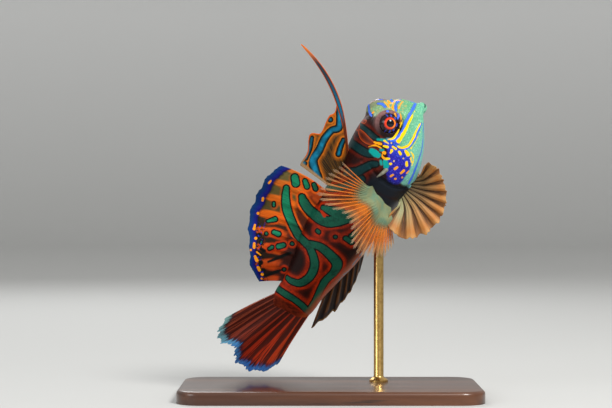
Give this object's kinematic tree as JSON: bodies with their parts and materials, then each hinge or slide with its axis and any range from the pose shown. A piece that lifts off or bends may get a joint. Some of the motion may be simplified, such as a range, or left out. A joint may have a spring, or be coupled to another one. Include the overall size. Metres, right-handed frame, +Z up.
{
  "type": "mandarinfish",
  "caption": "Life-size still model of a mandarinfish, nose up with its fins spread, held above a flat base by a rod.",
  "frame": {"origin": "middle of the base's underside", "axes": "+Z up; the fish's right side faces -Y; its head points up and towards +X"},
  "size_m": [0.06, 0.0382, 0.0688],
  "materials": {
    "skin": "smooth scaleless painted skin, red-brown with green and blue bands, under a wet-looking clear coat",
    "fin": "thin painted webs between raised rays, orange to maroon, with blue margins",
    "eye": "polished, with a red ring round a black pupil",
    "base": "dark satin varnish",
    "rod": "polished"
  },
  "bodies": {
    "root": {"head": "skin", "trunk": "skin", "tail": "skin", "dorsal_fin_first": "fin", "dorsal_fin_second": "fin", "anal_fin": "fin", "caudal_fin": "fin", "pectoral_fin_right": "fin", "pectoral_fin_left": "fin", "pelvic_fin_right": "fin", "pelvic_fin_left": "fin", "eye_right": "eye", "eye_left": "eye", "stand_base": "base", "stand_rod": "rod"}
  },
  "joints": []
}
